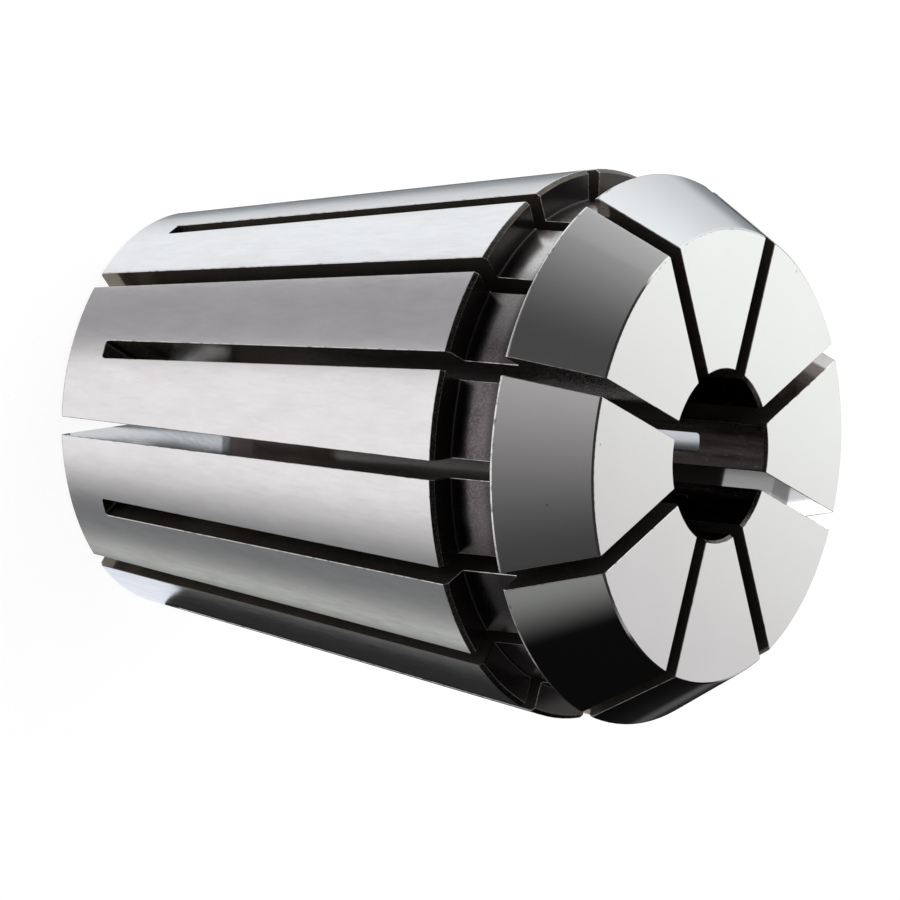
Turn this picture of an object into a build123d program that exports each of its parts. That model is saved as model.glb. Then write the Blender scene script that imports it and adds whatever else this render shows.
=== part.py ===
from build123d import *
from math import radians, sqrt, tan
import os

# Spring collet, turned, slit, hardened and ground from one bar of spring steel.
# It stands on its small rear end: the axis is Z, the rear face lies at z = 0 and
# the front face, which carries the mouth of the bore, looks up.
# Lengths are millimetres and angles are degrees.

# Overall form
overall_length = 40.0
major_diameter = 33.0
bore_diameter = 10.0
taper_half_angle = 8.0
cone_half_angle = 30.0

# Lengths along the axis, counted back from the front face
nose_length = 5.28
groove_width = 3.92
groove_depth = 1.85

# Edge breaks and corner radii
rear_edge_chamfer = 0.2
taper_edge_chamfer = 0.25
cone_edge_chamfer = 0.12
face_edge_chamfer = 0.18
bore_edge_chamfer = 0.2
groove_corner_radius = 0.3

# Slots: half of them open at the front face, the other half at the rear face
slots_per_end = 8
slot_width = 1.1
slot_corner_radius = 0.2
saw_diameter = 160.0
rear_land = 3.0
front_land = 4.8
saw_overrun = 1.0

# Places along the axis
cone_back_z = overall_length - nose_length
taper_front_z = cone_back_z - groove_width

# Radii of the turned outline, before its edges are broken
major_radius = major_diameter / 2
bore_radius = bore_diameter / 2
groove_floor_radius = major_radius - groove_depth
rear_radius = major_radius - taper_front_z * tan(radians(taper_half_angle))
face_radius = major_radius - nose_length * tan(radians(cone_half_angle))

# The saw crosses the whole diameter, so one pass makes two opposite slots.
# Its rim leaves an arc at the closed end of each slot.
saw_radius = saw_diameter / 2
saw_reach = major_radius + saw_overrun
passes_per_end = slots_per_end // 2
pass_angle = 180 / passes_per_end
slot_end_radius = rear_radius + rear_land * tan(radians(taper_half_angle))


def rim_height(radius):
    """Distance from the saw's centre line to its rim, at a radius from the collet's axis."""
    return sqrt(saw_radius**2 - radius**2)


# Centre of the saw at the end of its travel, for the slots open at each end.
# The front slots leave rear_land on the taper and the rear slots leave front_land at the bore.
front_saw_centre = rear_land + rim_height(slot_end_radius)
rear_saw_centre = overall_length - front_land - rim_height(bore_radius)

# Path of the saw for the slots that open at the front face
with BuildPart() as front_saw:
    with BuildSketch(Plane.XZ):
        with BuildLine():
            ThreePointArc(
                (-saw_reach, front_saw_centre - rim_height(saw_reach)),
                (0, front_saw_centre - saw_radius),
                (saw_reach, front_saw_centre - rim_height(saw_reach)),
            )
            Polyline(
                (saw_reach, front_saw_centre - rim_height(saw_reach)),
                (saw_reach, overall_length + saw_overrun),
                (-saw_reach, overall_length + saw_overrun),
                (-saw_reach, front_saw_centre - rim_height(saw_reach)),
            )
        make_face()
    extrude(amount=slot_width / 2, both=True)
    fillet(front_saw.edges().filter_by(GeomType.CIRCLE), radius=slot_corner_radius)

# Path of the saw for the slots that open at the rear face
with BuildPart() as rear_saw:
    with BuildSketch(Plane.XZ):
        with BuildLine():
            ThreePointArc(
                (-saw_reach, rear_saw_centre + rim_height(saw_reach)),
                (0, rear_saw_centre + saw_radius),
                (saw_reach, rear_saw_centre + rim_height(saw_reach)),
            )
            Polyline(
                (saw_reach, rear_saw_centre + rim_height(saw_reach)),
                (saw_reach, -saw_overrun),
                (-saw_reach, -saw_overrun),
                (-saw_reach, rear_saw_centre + rim_height(saw_reach)),
            )
        make_face()
    extrude(amount=slot_width / 2, both=True)
    fillet(rear_saw.edges().filter_by(GeomType.CIRCLE), radius=slot_corner_radius)

with BuildPart() as collet:
    # Turned outline: bore, rear face, long taper, pull-out groove, front cone and face
    with BuildSketch(Plane.XZ) as outline:
        with BuildLine():
            Polyline(
                (bore_radius, 0),
                (rear_radius, 0),
                (major_radius, taper_front_z),
                (groove_floor_radius, taper_front_z),
                (groove_floor_radius, cone_back_z),
                (major_radius, cone_back_z),
                (face_radius, overall_length),
                (bore_radius, overall_length),
                close=True,
            )
        make_face()
        groove_corners = [
            outline.vertices().sort_by_distance((groove_floor_radius, z))[0]
            for z in (taper_front_z, cone_back_z)
        ]
        fillet(groove_corners, radius=groove_corner_radius)
        for corner, size in (
            ((bore_radius, 0), bore_edge_chamfer),
            ((rear_radius, 0), rear_edge_chamfer),
            ((major_radius, taper_front_z), taper_edge_chamfer),
            ((major_radius, cone_back_z), cone_edge_chamfer),
            ((face_radius, overall_length), face_edge_chamfer),
            ((bore_radius, overall_length), bore_edge_chamfer),
        ):
            chamfer(outline.vertices().sort_by_distance(corner)[0], length=size)
    revolve(axis=Axis.Z)

    # Slots, the two sets shifted against each other by half a pass
    with PolarLocations(0, passes_per_end, start_angle=pass_angle / 2, angular_range=180):
        add(front_saw.part, mode=Mode.SUBTRACT)
    with PolarLocations(0, passes_per_end, angular_range=180):
        add(rear_saw.part, mode=Mode.SUBTRACT)

collet.part.label = "collet"

os.makedirs("parts", exist_ok=True)
export_step(collet.part, "parts/collet.step")
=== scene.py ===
import math

import bpy
import numpy as np
from mathutils import Matrix


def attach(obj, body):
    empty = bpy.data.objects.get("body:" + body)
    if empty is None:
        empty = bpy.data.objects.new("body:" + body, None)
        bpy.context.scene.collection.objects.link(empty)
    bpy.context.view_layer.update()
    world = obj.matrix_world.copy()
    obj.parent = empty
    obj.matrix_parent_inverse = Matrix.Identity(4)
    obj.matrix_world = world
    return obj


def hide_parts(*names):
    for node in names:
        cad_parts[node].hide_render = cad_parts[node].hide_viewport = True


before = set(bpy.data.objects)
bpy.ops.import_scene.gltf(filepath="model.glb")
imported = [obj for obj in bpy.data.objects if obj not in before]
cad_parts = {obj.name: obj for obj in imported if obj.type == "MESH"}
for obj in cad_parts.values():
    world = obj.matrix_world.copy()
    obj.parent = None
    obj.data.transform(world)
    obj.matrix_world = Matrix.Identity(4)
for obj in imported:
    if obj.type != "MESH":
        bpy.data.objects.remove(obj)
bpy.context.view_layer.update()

# ---------------------------------------------------------------------------
# Studio: a pale table, the camera, and the light of a small white tent round
# the collet. Nothing here belongs to the part.

# Camera: a long lens before the front face and to one side of it, rolled so that the axis of
# the collet lies across the frame
camera_data = bpy.data.cameras.new("camera")
camera_data.sensor_width = 36.0
camera_data.lens = 277.2
camera_data.clip_start = 0.01
camera_data.clip_end = 20.0
camera = bpy.data.objects.new("camera", camera_data)
bpy.context.scene.collection.objects.link(camera)
camera.matrix_world = Matrix((
    (-0.57519, -0.09345, 0.81266, 0.34118),
    (-0.00768, -0.99279, -0.11960, -0.04910),
    (0.81798, -0.07503, 0.57033, 0.25992),
    (0.0, 0.0, 0.0, 1.0),
))
bpy.context.scene.camera = camera

bpy.context.scene.view_settings.view_transform = "Standard"


def arithmetic(tree, operation, *values):
    """One Math node; each value is a socket or a number."""
    node = tree.nodes.new("ShaderNodeMath")
    node.operation = operation
    for socket, value in zip(node.inputs, values):
        if isinstance(value, (int, float)):
            socket.default_value = value
        else:
            tree.links.new(value, socket)
    return node.outputs[0]


def mix_colours(tree, share, first, second):
    """Colour that goes from first to second with the share; each is a socket or three numbers."""
    node = tree.nodes.new("ShaderNodeMix")
    node.data_type = "RGBA"
    tree.links.new(share, node.inputs[0])
    for socket, value in ((node.inputs[6], first), (node.inputs[7], second)):
        if isinstance(value, tuple):
            socket.default_value = (*value, 1.0)
        else:
            tree.links.new(value, socket)
    return node.outputs[2]


def soft_panel_group():
    """Node group for one panel of the light tent. Its light is its colour times its strength
    between two bearings round the collet, in degrees, and fades smoothly at each side."""
    group = bpy.data.node_groups.new("light panel", "ShaderNodeTree")
    for name in ("Bearing", "From", "Fade in", "To", "Fade out", "Strength"):
        group.interface.new_socket(name, in_out="INPUT", socket_type="NodeSocketFloat")
    group.interface.new_socket("Tint", in_out="INPUT", socket_type="NodeSocketColor")
    group.interface.new_socket("Light", in_out="OUTPUT", socket_type="NodeSocketColor")
    nodes, links = group.nodes, group.links
    given = nodes.new("NodeGroupInput")
    result = nodes.new("NodeGroupOutput")
    strength = given.outputs["Strength"]
    for edge, fade, low, high in (("From", "Fade in", 0.0, 1.0), ("To", "Fade out", 1.0, 0.0)):
        step = nodes.new("ShaderNodeMapRange")
        step.interpolation_type = "SMOOTHSTEP"
        step.inputs["To Min"].default_value = low
        step.inputs["To Max"].default_value = high
        links.new(given.outputs["Bearing"], step.inputs["Value"])
        for operation, socket in (("SUBTRACT", "From Min"), ("ADD", "From Max")):
            limit = arithmetic(group, operation, given.outputs[edge], given.outputs[fade])
            links.new(limit, step.inputs[socket])
        strength = arithmetic(group, "MULTIPLY", strength, step.outputs[0])
    tinted = nodes.new("ShaderNodeVectorMath")
    tinted.operation = "SCALE"
    links.new(given.outputs["Tint"], tinted.inputs[0])
    links.new(strength, tinted.inputs["Scale"])
    links.new(tinted.outputs[0], result.inputs["Light"])
    return group


world = bpy.data.worlds.new("light tent")
bpy.context.scene.world = world
world.use_nodes = True
sky = world.node_tree
sky.nodes.clear()
direction = sky.nodes.new("ShaderNodeTexCoord")
parts_of_direction = sky.nodes.new("ShaderNodeSeparateXYZ")
sky.links.new(direction.outputs["Generated"], parts_of_direction.inputs[0])

# Where a direction points: its x and y, its height, and its bearing about the axis in degrees
along_x, along_y, height = parts_of_direction.outputs
bearing = arithmetic(sky, "ARCTAN2", arithmetic(sky, "MULTIPLY", along_y, -1.0), along_x)
bearing = arithmetic(sky, "MULTIPLY", bearing, 180.0 / math.pi)


def sky_step(value, low, high):
    """Smooth step from 0 to 1 as the value goes from low to high."""
    node = sky.nodes.new("ShaderNodeMapRange")
    node.interpolation_type = "SMOOTHSTEP"
    sky.links.new(value, node.inputs["Value"])
    node.inputs["From Min"].default_value = low
    node.inputs["From Max"].default_value = high
    return node.outputs[0]


panel_group = soft_panel_group()
white = (1.0, 1.0, 1.0)
warm = (1.0, 0.975, 0.98)
cool = (0.80, 0.91, 1.0)
pale_blue = (0.95, 0.98, 1.0)
lilac = (1.0, 0.975, 1.0)
green_grey = (0.97, 1.0, 0.95)


def hang_panels(panels):
    """Light of all the panels added up. Each is (from, fade in, to, fade out, strength, tint),
    with its place and its fades in degrees of bearing."""
    total = None
    for *numbers, tint in panels:
        node = sky.nodes.new("ShaderNodeGroup")
        node.node_tree = panel_group
        sky.links.new(bearing, node.inputs["Bearing"])
        for name, value in zip(("From", "Fade in", "To", "Fade out", "Strength"), numbers):
            node.inputs[name].default_value = value
        node.inputs["Tint"].default_value = (*tint, 1.0)
        if total is None:
            total = node.outputs[0]
        else:
            both = sky.nodes.new("ShaderNodeVectorMath")
            sky.links.new(total, both.inputs[0])
            sky.links.new(node.outputs[0], both.inputs[1])
            total = both.outputs[0]
    return total


# Lower ring of panels, mirrored by the taper and the floor of the groove
low_light = hang_panels([
    (-200.0, 1.0, 200.0, 1.0, 0.02, white),
    (-43.0, 22.0, 41.0, 12.0, 0.95, warm),
    (-85.0, 10.0, -42.0, 20.0, 0.17, pale_blue),
    (-118.0, 8.0, -88.0, 12.0, 0.12, green_grey),
    (-105.5, 3.0, -88.0, 12.0, 0.43, green_grey),
    (43.0, 7.0, 92.0, 2.0, 0.36, lilac),
    (92.0, 3.0, 141.0, 14.0, 0.30, pale_blue),
    (92.0, 3.0, 160.0, 7.0, 0.74, pale_blue),
    (160.0, 8.0, 176.0, 3.0, 0.26, cool),
])
# Upper ring, mirrored by the cone
high_light = hang_panels([
    (-200.0, 1.0, 200.0, 1.0, 0.004, white),
    (-48.0, 4.0, 38.0, 2.0, 0.06, warm),
    (12.0, 58.0, 38.0, 2.0, 0.54, warm),
    (38.0, 2.0, 113.0, 3.0, 0.075, white),
    (95.0, 45.0, 113.0, 3.0, 0.56, white),
    (97.0, 2.0, 113.0, 3.0, 0.04, white),
    (113.0, 3.0, 200.0, 1.0, 0.75, pale_blue),
    (113.0, 3.0, 138.0, 25.0, 0.36, pale_blue),
    (-67.0, 13.0, -50.0, 2.0, 0.27, green_grey),
    (-200.0, 1.0, -150.0, 6.0, 0.66, white),
])
# Roof: on the far side, the front face mirrors the soft edge between a light and a darker board.
# On the near side it is open and dark.
light_board = (1.09, 1.12, 1.09)
dark_board = (0.64, 0.615, 0.625)
open_side = (0.03, 0.03, 0.03)
past_light_board = arithmetic(sky, "ADD", along_y, arithmetic(sky, "SUBTRACT", height, 0.54))
boards = mix_colours(sky, sky_step(past_light_board, 0.085, 0.155), light_board, dark_board)
near_side = hang_panels([(-92.0, 16.0, 103.0, 4.0, 1.0, white)])
roof_light = mix_colours(sky, near_side, boards, open_side)

# Heights between which each part of the tent passes into the next
from_lower_ring = (-0.45, -0.15)
to_roof = (0.455, 0.51)
to_top = (0.90, 0.95)
to_ground = (-0.84, -0.95)
top_grey = (0.60, 0.60, 0.60)
ground_white = (0.90, 0.90, 0.90)
tent_light = mix_colours(sky, sky_step(height, *from_lower_ring), low_light, high_light)
tent_light = mix_colours(sky, sky_step(height, *to_roof), tent_light, roof_light)
tent_light = mix_colours(sky, sky_step(height, *to_top), tent_light, top_grey)
tent_light = mix_colours(sky, sky_step(height, *to_ground), tent_light, ground_white)
light_path = sky.nodes.new("ShaderNodeLightPath")
tent_light = mix_colours(sky, light_path.outputs["Is Camera Ray"], tent_light, white)
background = sky.nodes.new("ShaderNodeBackground")
sky.links.new(tent_light, background.inputs["Color"])
sky_out = sky.nodes.new("ShaderNodeOutputWorld")
sky.links.new(background.outputs[0], sky_out.inputs[0])

# Table top: a round, matt white board with the collet's soft shadow on it. It lies a hair below
# the rear face, so that the two are not in one plane.
table_radius = 2.0
table_sides = 96
table_drop = 0.00002
table_angles = np.linspace(0.0, 2 * np.pi, table_sides, endpoint=False)
table_rings = np.array([0.02, 0.1, 0.4, 1.0]) * table_radius
table_level = np.full(table_sides, -table_drop)
table_points = np.vstack([[[0.0, 0.0, -table_drop]]] + [
    np.column_stack([r * np.cos(table_angles), r * np.sin(table_angles), table_level]) for r in table_rings
])
ring_starts = 1 + table_sides * np.arange(len(table_rings))
here = np.arange(table_sides)
there = (here + 1) % table_sides
table_faces = np.column_stack([0 * here, 1 + here, 1 + there]).tolist()
for near, far in zip(ring_starts[:-1], ring_starts[1:]):
    table_faces += np.column_stack([near + here, far + here, far + there, near + there]).tolist()
table_mesh = bpy.data.meshes.new("table")
table_mesh.from_pydata(table_points.tolist(), [], table_faces)
table = bpy.data.objects.new("table", table_mesh)
bpy.context.scene.collection.objects.link(table)
table.visible_glossy = False
table.visible_diffuse = False
table.visible_shadow = False

board = bpy.data.materials.new("white board")
board.use_nodes = True
paint = board.node_tree
paint.nodes.clear()
board_matt = paint.nodes.new("ShaderNodeBsdfDiffuse")
board_matt.inputs["Color"].default_value = (0.25, 0.25, 0.25, 1.0)
board_glow = paint.nodes.new("ShaderNodeEmission")
board_glow.inputs["Strength"].default_value = 0.93
board_sum = paint.nodes.new("ShaderNodeAddShader")
paint.links.new(board_matt.outputs[0], board_sum.inputs[0])
paint.links.new(board_glow.outputs[0], board_sum.inputs[1])
board_out = paint.nodes.new("ShaderNodeOutputMaterial")
paint.links.new(board_sum.outputs[0], board_out.inputs[0])
table_mesh.materials.append(board)

# White cards for the steel to mirror, unseen by the camera. Three lie flat just under the table:
# a strip under the bore and the slots, one far to the side, and one by the foot of the lowest
# finger. Four slips stand in the mouths of two slots on the far side.
millimetre = 0.001


def hang_card(name, rim, brightness):
    """Flat card through the rim's points, in millimetres. It glows evenly and is seen only in
    reflections."""
    mesh = bpy.data.meshes.new(name)
    mesh.from_pydata((np.array(rim) * millimetre).tolist(), [], [list(range(len(rim)))])
    glow_paint = bpy.data.materials.new(name)
    glow_paint.use_nodes = True
    tree = glow_paint.node_tree
    tree.nodes.clear()
    glow = tree.nodes.new("ShaderNodeEmission")
    glow.inputs["Color"].default_value = (0.92, 0.97, 1.05, 1.0)
    glow.inputs["Strength"].default_value = brightness
    output = tree.nodes.new("ShaderNodeOutputMaterial")
    tree.links.new(glow.outputs[0], output.inputs[0])
    mesh.materials.append(glow_paint)
    card = bpy.data.objects.new(name, mesh)
    bpy.context.scene.collection.objects.link(card)
    card.visible_camera = False
    card.visible_diffuse = False
    card.visible_shadow = False


flat_card_z = -0.1
flat_card_brightness = 0.97
flat_cards = {
    "card_under_slot": [(11.0, 1.1), (11.0, 0.2), (0.4, -0.95), (-4.4, -2.0), (-4.4, -1.1)],
    "card_far_side": [(-38.0, -1.0), (-38.0, -9.0), (-68.0, -14.0), (-68.0, -4.0)],
    "card_at_foot": [
        (8.6, 8.4), (7.4, 12.8), (6.6, 15.4), (4.8, 15.8), (3.0, 14.1), (1.5, 12.4), (2.2, 10.8),
    ],
}
for name, corners in flat_cards.items():
    hang_card(name, [(x, y, flat_card_z) for x, y in corners], flat_card_brightness)

# Each slip spans its slot from wall to wall: the bearing of the slot, the slip's two ends as
# radius and place along the axis, and its brightness
slip_half_width = 0.53
slips = {
    "card_across_cone": (157.5, (13.42, 39.95), (16.31, 34.76), 3.0),
    "card_under_nose": (157.5, (16.31, 34.76), (14.5, 34.72), 0.9),
    "card_across_groove": (157.5, (14.5, 34.7), (14.5, 31.0), 1.4),
    "card_across_next_cone": (202.5, (13.42, 39.95), (16.31, 34.76), 2.3),
}
for name, (slot_bearing, first_end, other_end, brightness) in slips.items():
    c, s = math.cos(math.radians(slot_bearing)), math.sin(math.radians(slot_bearing))
    sides = ((first_end, -1), (first_end, 1), (other_end, 1), (other_end, -1))
    rim = [(r * c - w * slip_half_width * s, r * s + w * slip_half_width * c, z) for (r, z), w in sides]
    hang_card(name, rim, brightness)

# ---------------------------------------------------------------------------
# The collet: one bar of spring steel, turned, slit by a thin saw from both ends, hardened, and
# then ground on the taper, the cone and the front face. Lengths in this section are millimetres
# until the mesh is made.

bore_radius = 5.0
overall_length = 40.0
taper_angle = math.radians(8.0)
cone_angle = math.radians(30.0)
major_radius = 16.5
cone_back_z = 34.72
taper_front_z = 30.8
groove_floor_radius = 14.65
bore_chamfer = 0.2
rear_chamfer = 0.2
taper_chamfer = 0.25
face_chamfer = 0.05
edge_radius = 0.06
cone_back_radius = 0.2
groove_corner_radius = 0.12

sin_taper, cos_taper, tan_taper = math.sin(taper_angle), math.cos(taper_angle), math.tan(taper_angle)
tan_cone = math.tan(cone_angle)
rear_radius = major_radius - taper_front_z * tan_taper
face_radius = major_radius - (overall_length - cone_back_z) * tan_cone
# The front chamfer, at 45 degrees, meets the cone this far below the face
chamfer_depth = face_chamfer / (1 - tan_cone)
# The front wall of the groove stands a little behind the cone's back, which makes up for its
# rounded corner
wall_set_back = 0.05
groove_front_z = cone_back_z - wall_set_back
cone_corner_r = major_radius + wall_set_back * tan_cone

# Finishes, in the order of the mesh's materials
GROUND_TAPER, LAPPED_CONE, GROUND_FACE, TURNED_GROOVE, SAWN_SLOT = range(5)
SLOT_END, REAMED_BORE, CHAMFER, BROKEN_EDGE = range(5, 9)

# Corners of the turned outline from the bore mouth round to the bore: radius, place along
# the axis, corner radius, the finish of the corner and the finish of the run that follows.
outline_corners = [
    (bore_radius + bore_chamfer, overall_length, edge_radius, BROKEN_EDGE, GROUND_FACE),
    (face_radius - face_chamfer, overall_length, edge_radius, BROKEN_EDGE, GROUND_FACE),
    (face_radius + chamfer_depth * tan_cone, overall_length - chamfer_depth,
     edge_radius, BROKEN_EDGE, LAPPED_CONE),
    (cone_corner_r, groove_front_z, cone_back_radius, BROKEN_EDGE, TURNED_GROOVE),
    (groove_floor_radius, groove_front_z, groove_corner_radius, TURNED_GROOVE, TURNED_GROOVE),
    (groove_floor_radius, taper_front_z, groove_corner_radius, TURNED_GROOVE, TURNED_GROOVE),
    (major_radius - taper_chamfer, taper_front_z, edge_radius, CHAMFER, CHAMFER),
    (major_radius - taper_chamfer * sin_taper, taper_front_z - taper_chamfer * cos_taper,
     edge_radius, BROKEN_EDGE, GROUND_TAPER),
    (rear_radius + rear_chamfer * sin_taper, rear_chamfer * cos_taper, edge_radius, BROKEN_EDGE, CHAMFER),
    (rear_radius - rear_chamfer, 0.0, edge_radius, CHAMFER, TURNED_GROOVE),
    (bore_radius + bore_chamfer, 0.0, edge_radius, CHAMFER, CHAMFER),
    (bore_radius, bore_chamfer, edge_radius, CHAMFER, REAMED_BORE),
    (bore_radius, overall_length - bore_chamfer, edge_radius, CHAMFER, CHAMFER),
]
groove_floor_run, taper_run, bore_run = 4, 7, 11

# The saw: half the slot's width, the corner radius of its teeth, its own radius, and how far
# the edges of the slots are broken. Then the closed ends: on the taper for the slots that open
# at the front face, and in the bore for those that open at the rear face.
slot_half = 0.55
tooth_radius = 0.2
saw_radius = 80.0
edge_break = 0.05
front_end_outside = 3.0
rear_end_inside = 35.2
flat_half = slot_half - tooth_radius
quarter = np.radians(np.array([0.0, 18.0, 36.0, 54.0, 72.0, 90.0]))
front_end_radius = rear_radius + front_end_outside * tan_taper
front_saw_centre = front_end_outside + math.sqrt(saw_radius**2 - front_end_radius**2)
rear_saw_centre = rear_end_inside - math.sqrt(saw_radius**2 - bore_radius**2)
front_end_inside = front_saw_centre - math.sqrt(saw_radius**2 - bore_radius**2)
rear_end_outside = rear_saw_centre + math.sqrt(saw_radius**2 - groove_floor_radius**2)


def slot_end_rows(end_z, opening):
    """Places along a straight run that the rounded corner of a slot's closed end needs. From the
    end they lie at the tooth radius less (tooth radius + edge break) * cos(0 to 90 degrees)."""
    return end_z + opening * (tooth_radius - (tooth_radius + edge_break) * np.cos(quarter))


# Rows added to three runs: those that the slots' closed ends need, and some spread between them
extra_rows = {
    taper_run: np.concatenate([slot_end_rows(front_end_outside, 1.0), np.linspace(5.0, 29.0, 9), [0.9, 1.8]]),
    bore_run: np.concatenate([
        slot_end_rows(front_end_inside, 1.0), slot_end_rows(rear_end_inside, -1.0),
        np.linspace(4.0, 33.0, 7), [38.0],
    ]),
    groove_floor_run: slot_end_rows(rear_end_outside, -1.0),
}
wide_corner = 0.1
longest_row = 2.5
most_rows = 6


def turned_outline(corners, added):
    """Closed outline of straight runs joined by arcs. The arc at a corner is tangent to both
    runs: it starts radius * tan(turn / 2) before the corner. Returns the radius, the place along
    the axis, the outward normal, the direction of travel and the finish after each station."""
    points = np.array([c[:2] for c in corners])
    ahead = np.roll(points, -1, axis=0) - points
    lengths = np.linalg.norm(ahead, axis=1)
    ahead = ahead / lengths[:, None]
    before = np.roll(ahead, 1, axis=0)
    turn = np.arctan2(before[:, 0] * ahead[:, 1] - before[:, 1] * ahead[:, 0], (before * ahead).sum(1))
    radii = np.array([c[2] for c in corners])
    reach = radii * np.abs(np.tan(turn / 2))
    rows = []
    for k, (*_, corner_finish, run_finish) in enumerate(corners):
        steps = 6 if radii[k] > wide_corner else 3
        share = np.linspace(0.0, 1.0, steps + 1)
        heading = np.arctan2(before[k, 1], before[k, 0]) + share * turn[k]
        sign = np.sign(turn[k])
        arc_start = points[k] - before[k] * reach[k]
        side = np.array([-before[k, 1], before[k, 0]]) * sign
        centre = arc_start + side * radii[k]
        arc = centre + radii[k] * sign * np.column_stack([np.sin(heading), -np.cos(heading)])
        rows.append(np.column_stack([arc, heading, np.full(len(share), corner_finish)]))
        rows[-1][-1, 3] = run_finish
        low, high = reach[k], lengths[k] - reach[(k + 1) % len(corners)]
        if k in added:
            along = np.sort((added[k] - points[k, 1]) / ahead[k, 1])
        else:
            count = int(np.clip(round((high - low) / longest_row), 1, most_rows))
            along = np.linspace(low, high, count + 1)[1:-1]
        run = points[k] + ahead[k] * along[:, None]
        run_heading = np.arctan2(ahead[k, 1], ahead[k, 0])
        rows.append(np.column_stack([run, np.tile([run_heading, run_finish], (len(along), 1))]))
    r, z, heading, finish = np.vstack(rows).T
    travel = np.column_stack([np.cos(heading), np.sin(heading)])
    normal = np.column_stack([-travel[:, 1], travel[:, 0]])
    return r, z, normal, travel, finish.astype(int)


outline = turned_outline(outline_corners, extra_rows)
station_r, station_z, station_normal, station_travel, station_finish = outline
station_count = len(station_r)


def nearest_station(radius, place):
    """Number of the station at that radius and place along the axis."""
    return int(np.argmin(np.hypot(station_r - radius, station_z - place)))


def slot_opening(outside, inside, first_radius, opening):
    """How far the slot's edge stands from its middle plane at each station, and which stations
    it passes. outside and inside are the closed ends on the outer skin and in the bore. Round
    them the distance is half the flat + (tooth radius + edge break) * sin(0 to 90 degrees)."""
    half = np.full(station_count, flat_half)
    start = nearest_station(first_radius, outside - opening * edge_break)
    stop = nearest_station(bore_radius, inside - opening * edge_break)
    if opening > 0:
        order = np.arange(stop, start + station_count + 1) % station_count
        order = order[::-1]
    else:
        order = np.arange(start, stop + 1)
    half[order] = slot_half + edge_break
    for place, way in ((0, 1), (-1, -1)):
        for k, angle in enumerate(quarter):
            half[order[place + way * k]] = flat_half + (tooth_radius + edge_break) * np.sin(angle)
    return half, order


rear_half, rear_order = slot_opening(rear_end_outside, rear_end_inside, groove_floor_radius, -1.0)
front_half, front_order = slot_opening(front_end_outside, front_end_inside, front_end_radius, 1.0)

patches = []


def add_grid(points, normals, finish, turned=False):
    """Keeps a patch of the skin: a grid of points with its normals and a finish for each cell."""
    n, m = points.shape[:2]
    index = np.arange(n * m).reshape(n, m)
    quads = np.stack([index[:-1, :-1], index[1:, :-1], index[1:, 1:], index[:-1, 1:]], axis=-1).reshape(-1, 4)
    if turned:
        quads = quads[:, ::-1]
    cell_finish = np.broadcast_to(finish, (n - 1, m - 1)).reshape(-1)
    patches.append((points.reshape(-1, 3), normals.reshape(-1, 3), quads, cell_finish))


def round_skin(rows, angles):
    """Points and normals of the turned skin: station (r, z) swept to each angle about the axis."""
    c, s = np.cos(angles), np.sin(angles)
    r, z = station_r[rows][:, None], station_z[rows][:, None]
    nr, nz = station_normal[rows, 0][:, None], station_normal[rows, 1][:, None]
    points = np.stack([r * c, r * s, np.broadcast_to(z, c.shape)], axis=-1)
    normals = np.stack([nr * c, nr * s, np.broadcast_to(nz, c.shape)], axis=-1)
    return points, normals


# Skin of half a finger, from the middle of a rear slot to the middle of a front slot. Its
# columns are closer together near the slots.
slots_each_way = 8
pitch = 2 * math.pi / slots_each_way
half_pitch = pitch / 2
across = np.array([0.0, 0.02, 0.08, 0.2, 0.35, 0.5, 0.65, 0.8, 0.92, 0.98, 1.0])
loop = np.append(np.arange(station_count), 0)
from_angle = np.arcsin(rear_half[loop] / station_r[loop])[:, None]
to_angle = half_pitch - np.arcsin(front_half[loop] / station_r[loop])[:, None]
points, normals = round_skin(loop, from_angle + (to_angle - from_angle) * across)
add_grid(points, normals, station_finish[:, None])

# Skin past the closed ends of the slots
cap_share = np.array([0.0, 0.5, 1.0])
for order, near_front in ((rear_order, False), (front_order, True)):
    passed = set(order[1:-1].tolist())
    rest = [k for k in range(station_count) if k not in passed]
    gap = next(k for k in range(len(rest)) if (rest[(k + 1) % len(rest)] - rest[k]) % station_count != 1)
    rest = np.array(rest[gap + 1:] + rest[:gap + 1])
    offset = flat_half * cap_share * np.ones((len(rest), 1))
    angles = np.arcsin(offset / station_r[rest][:, None])
    if near_front:
        angles = (half_pitch - angles)[:, ::-1]
    points, normals = round_skin(rest, angles)
    add_grid(points, normals, station_finish[rest[:-1]][:, None])

rows_across_edge = np.radians([[0.0, 30.0, 60.0, 90.0]])
rows_into_slot = 11
to_slot = np.array([0.0, -1.0, 0.0])
unbrushed_depth = 0.3


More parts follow.
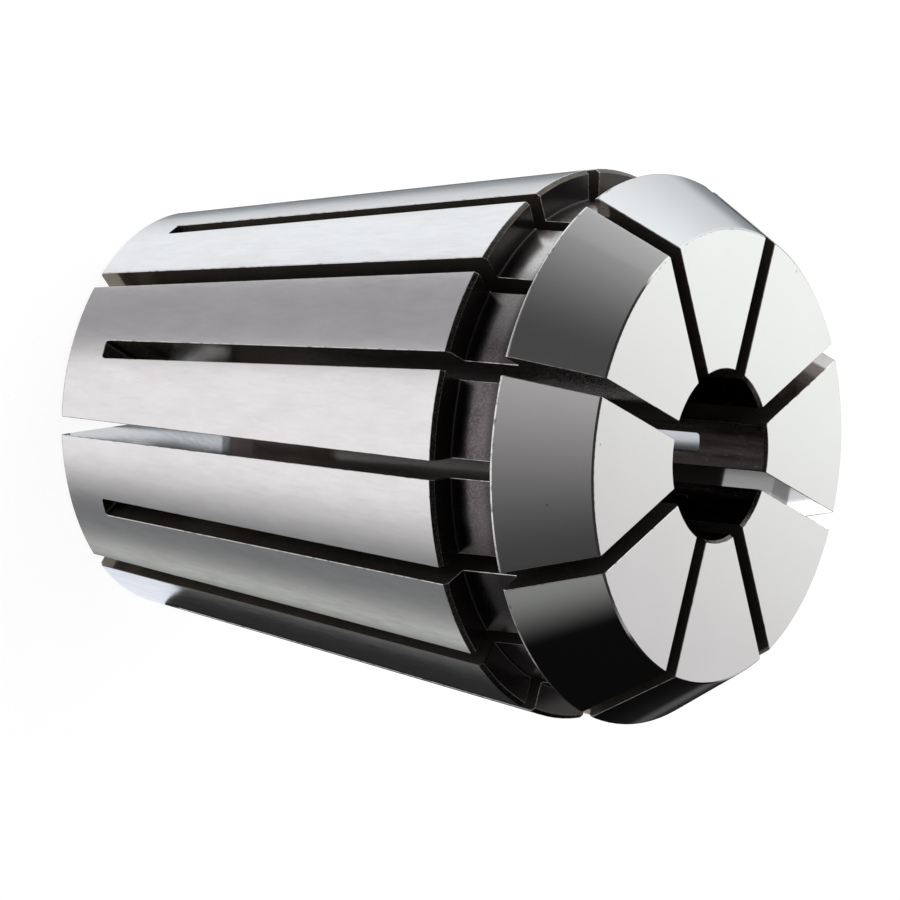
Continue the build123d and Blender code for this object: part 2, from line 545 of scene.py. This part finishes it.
def half_slot(order, centre, opening, place):
    """One side of a slot in its own frame, where its middle plane is y = 0 and the steel is at
    positive y. The rounded edge is a quarter circle from the skin to the wall, the closed end
    follows the rim of the saw, and the wall is flat. place turns it to where it belongs."""
    rows = np.concatenate([[order[0]] * 2, order, [order[-1]] * 2])
    count = len(rows)
    ends = len(quarter)
    offset = np.full(count, slot_half + edge_break)
    side, along = np.ones(count), np.zeros(count)
    corner = flat_half + (tooth_radius + edge_break) * np.sin(quarter)
    for sequence in (np.arange(ends) + 2, count - 3 - np.arange(ends)):
        offset[sequence] = corner
        side[sequence] = np.sin(quarter)
        along[sequence] = np.cos(quarter)
    offset[[0, -1]] = 0.0
    offset[[1, -2]] = flat_half / 2
    side[[0, 1, -1, -2]] = 0.0
    along[[0, 1, -1, -2]] = 1.0
    # Direction from the opening to the closed end, along the travel of the outline
    toward_end = -opening * np.sign(station_travel[rows, 1])
    along = along * np.where(along > 1e-9, toward_end, 0.0)
    r, z = station_r[rows], station_z[rows]
    n, t = station_normal[rows], station_travel[rows]
    # Rounded edge: it sinks from the skin by break * (1 - cos) and moves over it by break * sin
    sink = edge_break * (1 - np.cos(rows_across_edge))
    shift = edge_break * np.sin(rows_across_edge)
    edge_r = r[:, None] - sink * n[:, :1] - shift * along[:, None] * t[:, :1]
    edge_z = z[:, None] - sink * n[:, 1:] - shift * along[:, None] * t[:, 1:]
    edge_y = offset[:, None] - shift * side[:, None]
    strip = np.stack([np.sqrt(edge_r**2 - edge_y**2), edge_y, edge_z], axis=-1)
    skin_angle = np.arcsin(offset / r)
    skin_normal = np.column_stack([n[:, 0] * np.cos(skin_angle), n[:, 0] * np.sin(skin_angle), n[:, 1]])
    rim = np.column_stack([-r, np.zeros(count), centre - z])
    rim = rim / np.linalg.norm(rim, axis=1)[:, None]
    wall_normal = np.abs(along)[:, None] * rim + side[:, None] * to_slot
    skin_part, wall_part = np.cos(rows_across_edge)[..., None], np.sin(rows_across_edge)[..., None]
    strip_normal = skin_part * skin_normal[:, None] + wall_part * wall_normal[:, None]
    strip_normal /= np.linalg.norm(strip_normal, axis=-1, keepdims=True)
    wall_edge = strip[:, -1]
    # Closed end, from the outer skin to the bore
    outer = wall_edge[: ends + 2]
    inner = wall_edge[::-1][: ends + 2]
    depth = np.linspace(0.0, 1.0, rows_into_slot)[:, None]
    end_x = outer[None, :, 0] * (1 - depth) + inner[None, :, 0] * depth
    end_y = outer[None, :, 1] * (1 - depth) + inner[None, :, 1] * depth
    angle = np.concatenate([[0.0, 0.0], quarter])
    rim_radius = saw_radius - tooth_radius * (1 - np.cos(angle))

    def rim_z(x):
        """Place along the axis of the saw's rim at a distance x from the collet's axis."""
        return centre - opening * np.sqrt(rim_radius**2 - x**2)

    outer_gap = outer[None, :, 2] - rim_z(outer[None, :, 0])
    inner_gap = inner[None, :, 2] - rim_z(inner[None, :, 0])
    end_z = rim_z(end_x) + (1 - depth) * outer_gap + depth * inner_gap
    closed = np.stack([end_x, end_y, end_z], axis=-1)
    rim = np.stack([-end_x, 0 * end_x, centre - end_z], axis=-1)
    rim /= np.linalg.norm(rim, axis=-1, keepdims=True)
    closed_normal = np.cos(angle)[None, :, None] * rim + np.sin(angle)[None, :, None] * to_slot
    wall = np.vstack([wall_edge[ends + 1: count - ends - 1], closed[1:-1, -1][::-1]])
    wall_normals = np.broadcast_to(to_slot, wall.shape)
    # The brush that breaks the edges does not reach into the bore
    brushed = np.where(r[:-1] > bore_radius + unbrushed_depth, BROKEN_EDGE, REAMED_BORE)
    add_grid(place(strip), place(strip_normal), brushed[:, None], turned=True)
    add_grid(place(closed), place(closed_normal), SLOT_END)
    wall_face = np.arange(len(wall))[None, ::-1]
    patches.append((place(wall), place(wall_normals), wall_face, np.array([SAWN_SLOT])))


def to_front_slot(v):
    """Mirrors a vector in the x-z plane and turns it to the middle of the front slot."""
    c, s = math.cos(half_pitch), math.sin(half_pitch)
    x, y = v[..., 0], -v[..., 1]
    return np.stack([c * x - s * y, s * x + c * y, v[..., 2]], axis=-1)


half_slot(rear_order, rear_saw_centre, -1.0, lambda v: v)
half_slot(front_order, front_saw_centre, 1.0, to_front_slot)

# All sixteen half fingers: each patch as it is, and mirrored in the middle of its rear slot,
# turned to each of the eight rear slots. Points that agree to this many decimals are merged.
merge_decimals = 5
points, normals, faces, finishes = [], [], [], []
first_point = 0
for patch_points, patch_normals, patch_faces, patch_finish in patches:
    for k in range(slots_each_way):
        c, s = math.cos(pitch * k), math.sin(pitch * k)
        turn = np.array([[c, s, 0.0], [-s, c, 0.0], [0.0, 0.0, 1.0]])
        for mirror in (1.0, -1.0):
            flip = np.array([1.0, mirror, 1.0])
            points.append((patch_points * flip) @ turn)
            normals.append((patch_normals * flip) @ turn)
            facing_out = patch_faces if mirror > 0 else patch_faces[:, ::-1]
            faces += (facing_out + first_point).tolist()
            finishes.append(patch_finish)
            first_point += len(patch_points)
points, normals, finishes = np.vstack(points), np.vstack(normals), np.concatenate(finishes)
normals /= np.linalg.norm(normals, axis=1)[:, None]
rounded = np.round(points, merge_decimals)
_, kept, merged_index = np.unique(rounded, axis=0, return_index=True, return_inverse=True)
merged_index = merged_index.reshape(-1)

collet_mesh = bpy.data.meshes.new("collet_body")
sizes = np.array([len(f) for f in faces])
corner_points = np.concatenate([np.array(f) for f in faces])
collet_mesh.vertices.add(len(kept))
collet_mesh.vertices.foreach_set("co", (points[kept] * millimetre).astype(np.float32).ravel())
collet_mesh.loops.add(len(corner_points))
collet_mesh.loops.foreach_set("vertex_index", merged_index[corner_points].astype(np.int32))
collet_mesh.polygons.add(len(faces))
collet_mesh.polygons.foreach_set("loop_start", np.concatenate([[0], np.cumsum(sizes)[:-1]]).astype(np.int32))
collet_mesh.polygons.foreach_set("material_index", finishes.astype(np.int32))
collet_mesh.update(calc_edges=True)
collet_mesh.validate()
collet_mesh.shade_smooth()
collet_mesh.normals_split_custom_set(normals[corner_points].tolist())
collet = bpy.data.objects.new("collet_body", collet_mesh)
bpy.context.scene.collection.objects.link(collet)


def number_group(name, inputs, outputs, build):
    """Node group with named number inputs, made once and placed in each finish that needs it."""
    group = bpy.data.node_groups.new(name, "ShaderNodeTree")
    for key, value in inputs:
        given_number = group.interface.new_socket(key, in_out="INPUT", socket_type="NodeSocketFloat")
        given_number.default_value = value
    for key in outputs:
        group.interface.new_socket(key, in_out="OUTPUT", socket_type="NodeSocketFloat")
    given = group.nodes.new("NodeGroupInput")
    result = group.nodes.new("NodeGroupOutput")
    place = group.nodes.new("ShaderNodeTexCoord")
    for key, socket in zip(outputs, build(group, given.outputs, place.outputs["Object"])):
        group.links.new(socket, result.inputs[key])
    return group


def noise(tree, vector, scale, detail, roughness):
    """One Noise texture of a vector times a scale."""
    node = tree.nodes.new("ShaderNodeTexNoise")
    tree.links.new(vector, node.inputs["Vector"])
    tree.links.new(scale, node.inputs["Scale"])
    node.inputs["Detail"].default_value = detail
    node.inputs["Roughness"].default_value = roughness
    return node.outputs["Fac"]


def apart(tree, place):
    """The x, y and z of a point."""
    node = tree.nodes.new("ShaderNodeSeparateXYZ")
    tree.links.new(place, node.inputs[0])
    return node.outputs


def together(tree, *parts):
    """One vector from three numbers."""
    node = tree.nodes.new("ShaderNodeCombineXYZ")
    for source, target in zip(parts, node.inputs):
        tree.links.new(source, target)
    return node.outputs[0]


def distance_from_axis(tree, x, y):
    """Square root of x * x + y * y."""
    squares = arithmetic(tree, "MULTIPLY", x, x), arithmetic(tree, "MULTIPLY", y, y)
    return arithmetic(tree, "SQRT", arithmetic(tree, "ADD", *squares))


def build_round_marks(tree, given, place):
    """Fine lines left by turning and grinding. Noise of (x, y, (z - radius) * Closeness): it changes
    quickly along the outline and slowly round the axis, so the lines run round the collet."""
    x, y, z = apart(tree, place)
    along = arithmetic(tree, "SUBTRACT", z, distance_from_axis(tree, x, y))
    along = arithmetic(tree, "MULTIPLY", along, given["Closeness"])
    return [noise(tree, together(tree, x, y, along), given["Scale"], 3.0, 0.6)]


def build_long_marks(tree, given, place):
    """Streaks that run along the axis, from wiping and from the reamer. Noise of (x, y, z / Length)."""
    x, y, z = apart(tree, place)
    along = arithmetic(tree, "DIVIDE", z, given["Length"])
    return [noise(tree, together(tree, x, y, along), given["Scale"], 4.0, 0.65)]


def build_handling(tree, given, place):
    """Smudges from handling, and a few dust specks: small dots round some of the points of a
    Voronoi pattern, kept where the cell's own random number is high."""
    smudge = noise(tree, place, given["Smudge scale"], 3.0, 0.55)
    cells = tree.nodes.new("ShaderNodeTexVoronoi")
    tree.links.new(place, cells.inputs["Vector"])
    tree.links.new(given["Speck scale"], cells.inputs["Scale"])
    chance = tree.nodes.new("ShaderNodeSeparateColor")
    tree.links.new(cells.outputs["Color"], chance.inputs[0])
    dot = tree.nodes.new("ShaderNodeMapRange")
    tree.links.new(cells.outputs["Distance"], dot.inputs["Value"])
    dot.inputs["From Min"].default_value = 0.035
    dot.inputs["From Max"].default_value = 0.015
    chosen = arithmetic(tree, "GREATER_THAN", chance.outputs[0], 0.45)
    return [smudge, arithmetic(tree, "MULTIPLY", dot.outputs[0], chosen)]


def build_whereabouts(tree, given, place):
    """Where a point is on the collet: the cosine of the angle between its own bearing about the
    axis and the given one in degrees, (x cos b + y sin b) / radius, and its height z."""
    x, y, z = apart(tree, place)
    given_bearing = arithmetic(tree, "RADIANS", given["Bearing"])
    toward_x = arithmetic(tree, "MULTIPLY", x, arithmetic(tree, "COSINE", given_bearing))
    toward_y = arithmetic(tree, "MULTIPLY", y, arithmetic(tree, "SINE", given_bearing))
    toward = arithmetic(tree, "ADD", toward_x, toward_y)
    return [arithmetic(tree, "DIVIDE", toward, distance_from_axis(tree, x, y)), z]


round_inputs = [("Scale", 500.0), ("Closeness", 20.0)]
long_inputs = [("Scale", 6000.0), ("Length", 20.0)]
handling_inputs = [("Smudge scale", 150.0), ("Speck scale", 280.0)]
round_marks = number_group("round marks", round_inputs, ["Mark"], build_round_marks)
long_marks = number_group("long marks", long_inputs, ["Mark"], build_long_marks)
handling = number_group("handling", handling_inputs, ["Smudge", "Speck"], build_handling)
whereabouts = number_group("whereabouts", [("Bearing", 0.0)], ["Facing", "Height"], build_whereabouts)


class Finish:
    """A steel finish: one Principled BSDF of metallic steel, with short calls to join nodes to it."""

    def __init__(self, name, metallic):
        """A new material with that name and that share of metal."""
        self.material = bpy.data.materials.new(name)
        self.material.use_nodes = True
        self.tree = self.material.node_tree
        self.shader = self.tree.nodes["Principled BSDF"]
        self.shader.inputs["Metallic"].default_value = metallic

    def marks(self, group, **values):
        """Places a node group with its own values, and returns its outputs."""
        node = self.tree.nodes.new("ShaderNodeGroup")
        node.node_tree = group
        for key, value in values.items():
            node.inputs[key.replace("_", " ")].default_value = value
        return node.outputs

    def spread(self, value, low, high, from_low, from_high):
        """Straight line from low to high as the value goes from from_low to from_high, clamped."""
        node = self.tree.nodes.new("ShaderNodeMapRange")
        self.tree.links.new(value, node.inputs["Value"])
        numbers = {"From Min": from_low, "From Max": from_high, "To Min": low, "To Max": high}
        for key, number in numbers.items():
            node.inputs[key].default_value = number
        return node.outputs[0]

    def blend(self, share, first, second):
        """Colour between first and second by the share."""
        return mix_colours(self.tree, share, first, second)

    def join(self, name, socket):
        """Joins a value that changes over the surface to the shader's input of that name."""
        self.tree.links.new(socket, self.shader.inputs[name])

    def relief(self, *layers):
        """Bump nodes in a row, each (height, depth in metres)."""
        normal = None
        for height, depth in layers:
            node = self.tree.nodes.new("ShaderNodeBump")
            node.inputs["Distance"].default_value = depth
            self.tree.links.new(height, node.inputs["Height"])
            if normal is not None:
                self.tree.links.new(normal, node.inputs["Normal"])
            normal = node.outputs[0]
        self.join("Normal", normal)


# Ground taper: satin from the wheel, faint lines round it, wiped streaks along it
taper = Finish("ground_taper", 1.0)
lines = taper.marks(round_marks, Scale=500.0, Closeness=16.0)["Mark"]
streaks = taper.marks(long_marks, Scale=3500.0, Length=16.0)["Mark"]
broad = taper.marks(long_marks, Scale=900.0, Length=3.0)["Mark"]
touched = taper.marks(handling, Smudge_scale=120.0, Speck_scale=330.0)
broad_share = taper.spread(broad, 0.0, 1.0, 0.35, 0.65)
steel = taper.blend(broad_share, (0.765, 0.755, 0.765), (0.82, 0.815, 0.82))
steel = taper.blend(taper.spread(streaks, 0.0, 0.45, 0.55, 0.75), steel, (0.70, 0.69, 0.70))
taper.join("Base Color", taper.blend(touched["Speck"], steel, (0.42, 0.40, 0.39)))
taper.join("Roughness", taper.spread(streaks, 0.15, 0.23, 0.3, 0.7))
taper.relief((lines, 4e-7), (streaks, 8e-7), (broad, 2e-6))

# Lapped cone: nearly a mirror, with the faintest lines round it
cone = Finish("lapped_cone", 1.0)
lines = cone.marks(round_marks, Scale=500.0, Closeness=14.0)["Mark"]
touched = cone.marks(handling, Smudge_scale=160.0, Speck_scale=330.0)
smudged = cone.spread(touched["Smudge"], 0.0, 1.0, 0.3, 0.7)
steel = cone.blend(smudged, (0.745, 0.74, 0.745), (0.77, 0.765, 0.77))
cone.join("Base Color", cone.blend(touched["Speck"], steel, (0.45, 0.44, 0.43)))
cone.join("Roughness", cone.spread(touched["Smudge"], 0.055, 0.085, 0.3, 0.7))
cone.relief((lines, 1.2e-7))

# Ground front face: bright and flat, with faint rings
face = Finish("ground_face", 1.0)
lines = face.marks(round_marks, Scale=500.0, Closeness=14.0)["Mark"]
touched = face.marks(handling, Smudge_scale=140.0, Speck_scale=300.0)
smudged = face.spread(touched["Smudge"], 0.0, 1.0, 0.3, 0.7)
steel = face.blend(smudged, (0.83, 0.83, 0.825), (0.85, 0.85, 0.845))
face.join("Base Color", face.blend(touched["Speck"], steel, (0.5, 0.49, 0.48)))
face.join("Roughness", face.spread(touched["Smudge"], 0.09, 0.12, 0.3, 0.7))
face.relief((lines, 1.5e-7))

# Groove and rear face as turned before hardening: brown-black scale over tool marks that run
# round them. A bright band is painted on the groove's floor at one bearing: painted highlight.
# Its walls, its side away from that bearing, and the rear face are blacker: painted shade.
groove = Finish("turned_groove", 1.0)
lines = groove.marks(round_marks, Scale=450.0, Closeness=14.0)["Mark"]
touched = groove.marks(handling, Smudge_scale=500.0, Speck_scale=1500.0)
grain = groove.marks(handling, Smudge_scale=9000.0)["Smudge"]
place = groove.marks(whereabouts, Bearing=-65.0)
# Painted highlight: a bright band on the groove's floor, about bearing -65 degrees.
lit_band_bearing = groove.spread(place["Facing"], 0.0, 1.0, 0.80, 0.97)
lit_band_floor = groove.spread(place["Height"], 0.0, 1.0, 0.0312, 0.0318)
painted_lit_band = arithmetic(groove.tree, "MULTIPLY", lit_band_bearing, lit_band_floor)
painted_lit_band = arithmetic(groove.tree, "MULTIPLY", painted_lit_band, groove.spread(grain, 0.75, 1.0, 0.35, 0.6))
smudged = groove.spread(touched["Smudge"], 0.0, 1.0, 0.3, 0.7)
surface_colour = groove.blend(smudged, (0.085, 0.072, 0.076), (0.165, 0.148, 0.156))
bare_grains = groove.spread(grain, 0.0, 0.7, 0.45, 0.75)
surface_colour = groove.blend(bare_grains, surface_colour, (0.27, 0.25, 0.25))
surface_colour = groove.blend(painted_lit_band, surface_colour, (0.66, 0.645, 0.63))
# Painted shade: the groove's side away from that bearing is made darker.
painted_shade_far_side = groove.spread(place["Facing"], 0.7, 0.0, -0.5, 0.45)
surface_colour = groove.blend(painted_shade_far_side, surface_colour, (0.04, 0.036, 0.036))
# Painted shade: the groove's rear wall and the rear face are made nearly black.
painted_shade_rear_wall = groove.spread(place["Height"], 0.9, 0.0, 0.0310, 0.0321)
surface_colour = groove.blend(painted_shade_rear_wall, surface_colour, (0.045, 0.036, 0.035))
# Painted shade: the front of the floor and the front wall, under the cone's back, are made darker.
painted_shade_front_wall = groove.spread(place["Height"], 0.0, 0.6, 0.0330, 0.0334)
surface_colour = groove.blend(painted_shade_front_wall, surface_colour, (0.05, 0.045, 0.045))
groove.join("Base Color", groove.blend(touched["Speck"], surface_colour, (0.55, 0.53, 0.50)))
groove.join("Roughness", groove.spread(touched["Smudge"], 0.18, 0.26, 0.3, 0.7))
groove.join("Metallic", groove.spread(place["Height"], 0.70, 1.0, 0.0309, 0.0313))
groove.relief((lines, 8e-7), (grain, 5e-7))

# Slot walls: sawn, then darkened by the hardening to brown, and darker towards the nose
slot_steel = Finish("sawn_slot", 0.80)
lines = slot_steel.marks(round_marks, Scale=420.0, Closeness=10.0)["Mark"]
touched = slot_steel.marks(handling, Smudge_scale=420.0, Speck_scale=1200.0)
grain = slot_steel.marks(handling, Smudge_scale=8000.0)["Smudge"]
smudged = slot_steel.spread(touched["Smudge"], 0.0, 1.0, 0.3, 0.7)
surface_colour = slot_steel.blend(smudged, (0.27, 0.238, 0.205), (0.38, 0.34, 0.30))
bare_grains = slot_steel.spread(grain, 0.0, 0.5, 0.45, 0.75)
surface_colour = slot_steel.blend(bare_grains, surface_colour, (0.50, 0.45, 0.39))
toward_nose = slot_steel.spread(slot_steel.marks(whereabouts)["Height"], 0.0, 0.45, 0.012, 0.032)
surface_colour = slot_steel.blend(toward_nose, surface_colour, (0.15, 0.135, 0.125))
slot_steel.join("Base Color", slot_steel.blend(touched["Speck"], surface_colour, (0.60, 0.56, 0.52)))
slot_steel.join("Roughness", slot_steel.spread(lines, 0.09, 0.14, 0.3, 0.7))
slot_steel.relief((lines, 2e-7), (grain, 1e-7))

# Closed ends of the slots, where the scale stays thickest: black, with a brown grain
slot_end = Finish("slot_end", 0.80)
grain = slot_end.marks(handling, Smudge_scale=8000.0)["Smudge"]
brown = slot_end.spread(grain, 0.0, 1.0, 0.4, 0.75)
slot_end.join("Base Color", slot_end.blend(brown, (0.06, 0.052, 0.045), (0.18, 0.16, 0.135)))
slot_end.join("Roughness", slot_end.spread(grain, 0.25, 0.4, 0.3, 0.7))
slot_end.relief((grain, 4e-7))

# Bore: reamed and hardened, nearly black, with bright flecks in rows along it
bore = Finish("reamed_bore", 1.0)
streaks = bore.marks(long_marks, Scale=1800.0, Length=10.0)["Mark"]
flecks = bore.marks(long_marks, Scale=5000.0, Length=2.5)["Mark"]
streak_share = bore.spread(streaks, 0.0, 1.0, 0.35, 0.7)
surface_colour = bore.blend(streak_share, (0.055, 0.045, 0.045), (0.14, 0.125, 0.125))
fleck_share = bore.spread(flecks, 0.0, 0.6, 0.60, 0.74)
bore.join("Base Color", bore.blend(fleck_share, surface_colour, (0.50, 0.47, 0.46)))
bore.join("Roughness", bore.spread(streaks, 0.18, 0.30, 0.3, 0.7))
bore.relief((streaks, 2e-6), (flecks, 1.5e-6))

# Chamfers left from turning: dull brown, with grains of bare steel
chamfer = Finish("turned_chamfer", 1.0)
lines = chamfer.marks(round_marks, Scale=500.0, Closeness=30.0)["Mark"]
grain = chamfer.marks(handling, Smudge_scale=7000.0)["Smudge"]
line_share = chamfer.spread(lines, 0.0, 1.0, 0.35, 0.65)
surface_colour = chamfer.blend(line_share, (0.07, 0.06, 0.05), (0.17, 0.155, 0.135))
bare_grains = chamfer.spread(grain, 0.0, 0.4, 0.5, 0.75)
chamfer.join("Base Color", chamfer.blend(bare_grains, surface_colour, (0.40, 0.37, 0.33)))
chamfer.join("Roughness", chamfer.spread(grain, 0.20, 0.34, 0.3, 0.7))
chamfer.relief((lines, 6e-7), (grain, 6e-7))

# Broken edges: brushed after slitting, so bright, and a little uneven along their length.
# Over one half finger, from 47 to 67 degrees, the edges are darker: painted shade.
edge = Finish("broken_edge", 1.0)
smudge = edge.marks(handling, Smudge_scale=2200.0)["Smudge"]
brushed = edge.spread(smudge, 0.0, 1.0, 0.34, 0.50)
steel = edge.blend(brushed, (0.36, 0.34, 0.33), (0.80, 0.80, 0.79))
# Painted shade: the edges that face about 57 degrees are made dark.
painted_shade_on_edges = edge.spread(edge.marks(whereabouts, Bearing=57.0)["Facing"], 0.0, 1.0, 0.973, 0.984)
edge.join("Base Color", edge.blend(painted_shade_on_edges, steel, (0.14, 0.13, 0.14)))
edge.join("Roughness", edge.spread(smudge, 0.26, 0.14, 0.35, 0.65))
edge.relief((smudge, 3e-6))

# The finishes, in the order of their numbers
for finish in (taper, cone, face, groove, slot_steel, slot_end, bore, chamfer, edge):
    collet_mesh.materials.append(finish.material)

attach(collet, "root")
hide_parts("collet")
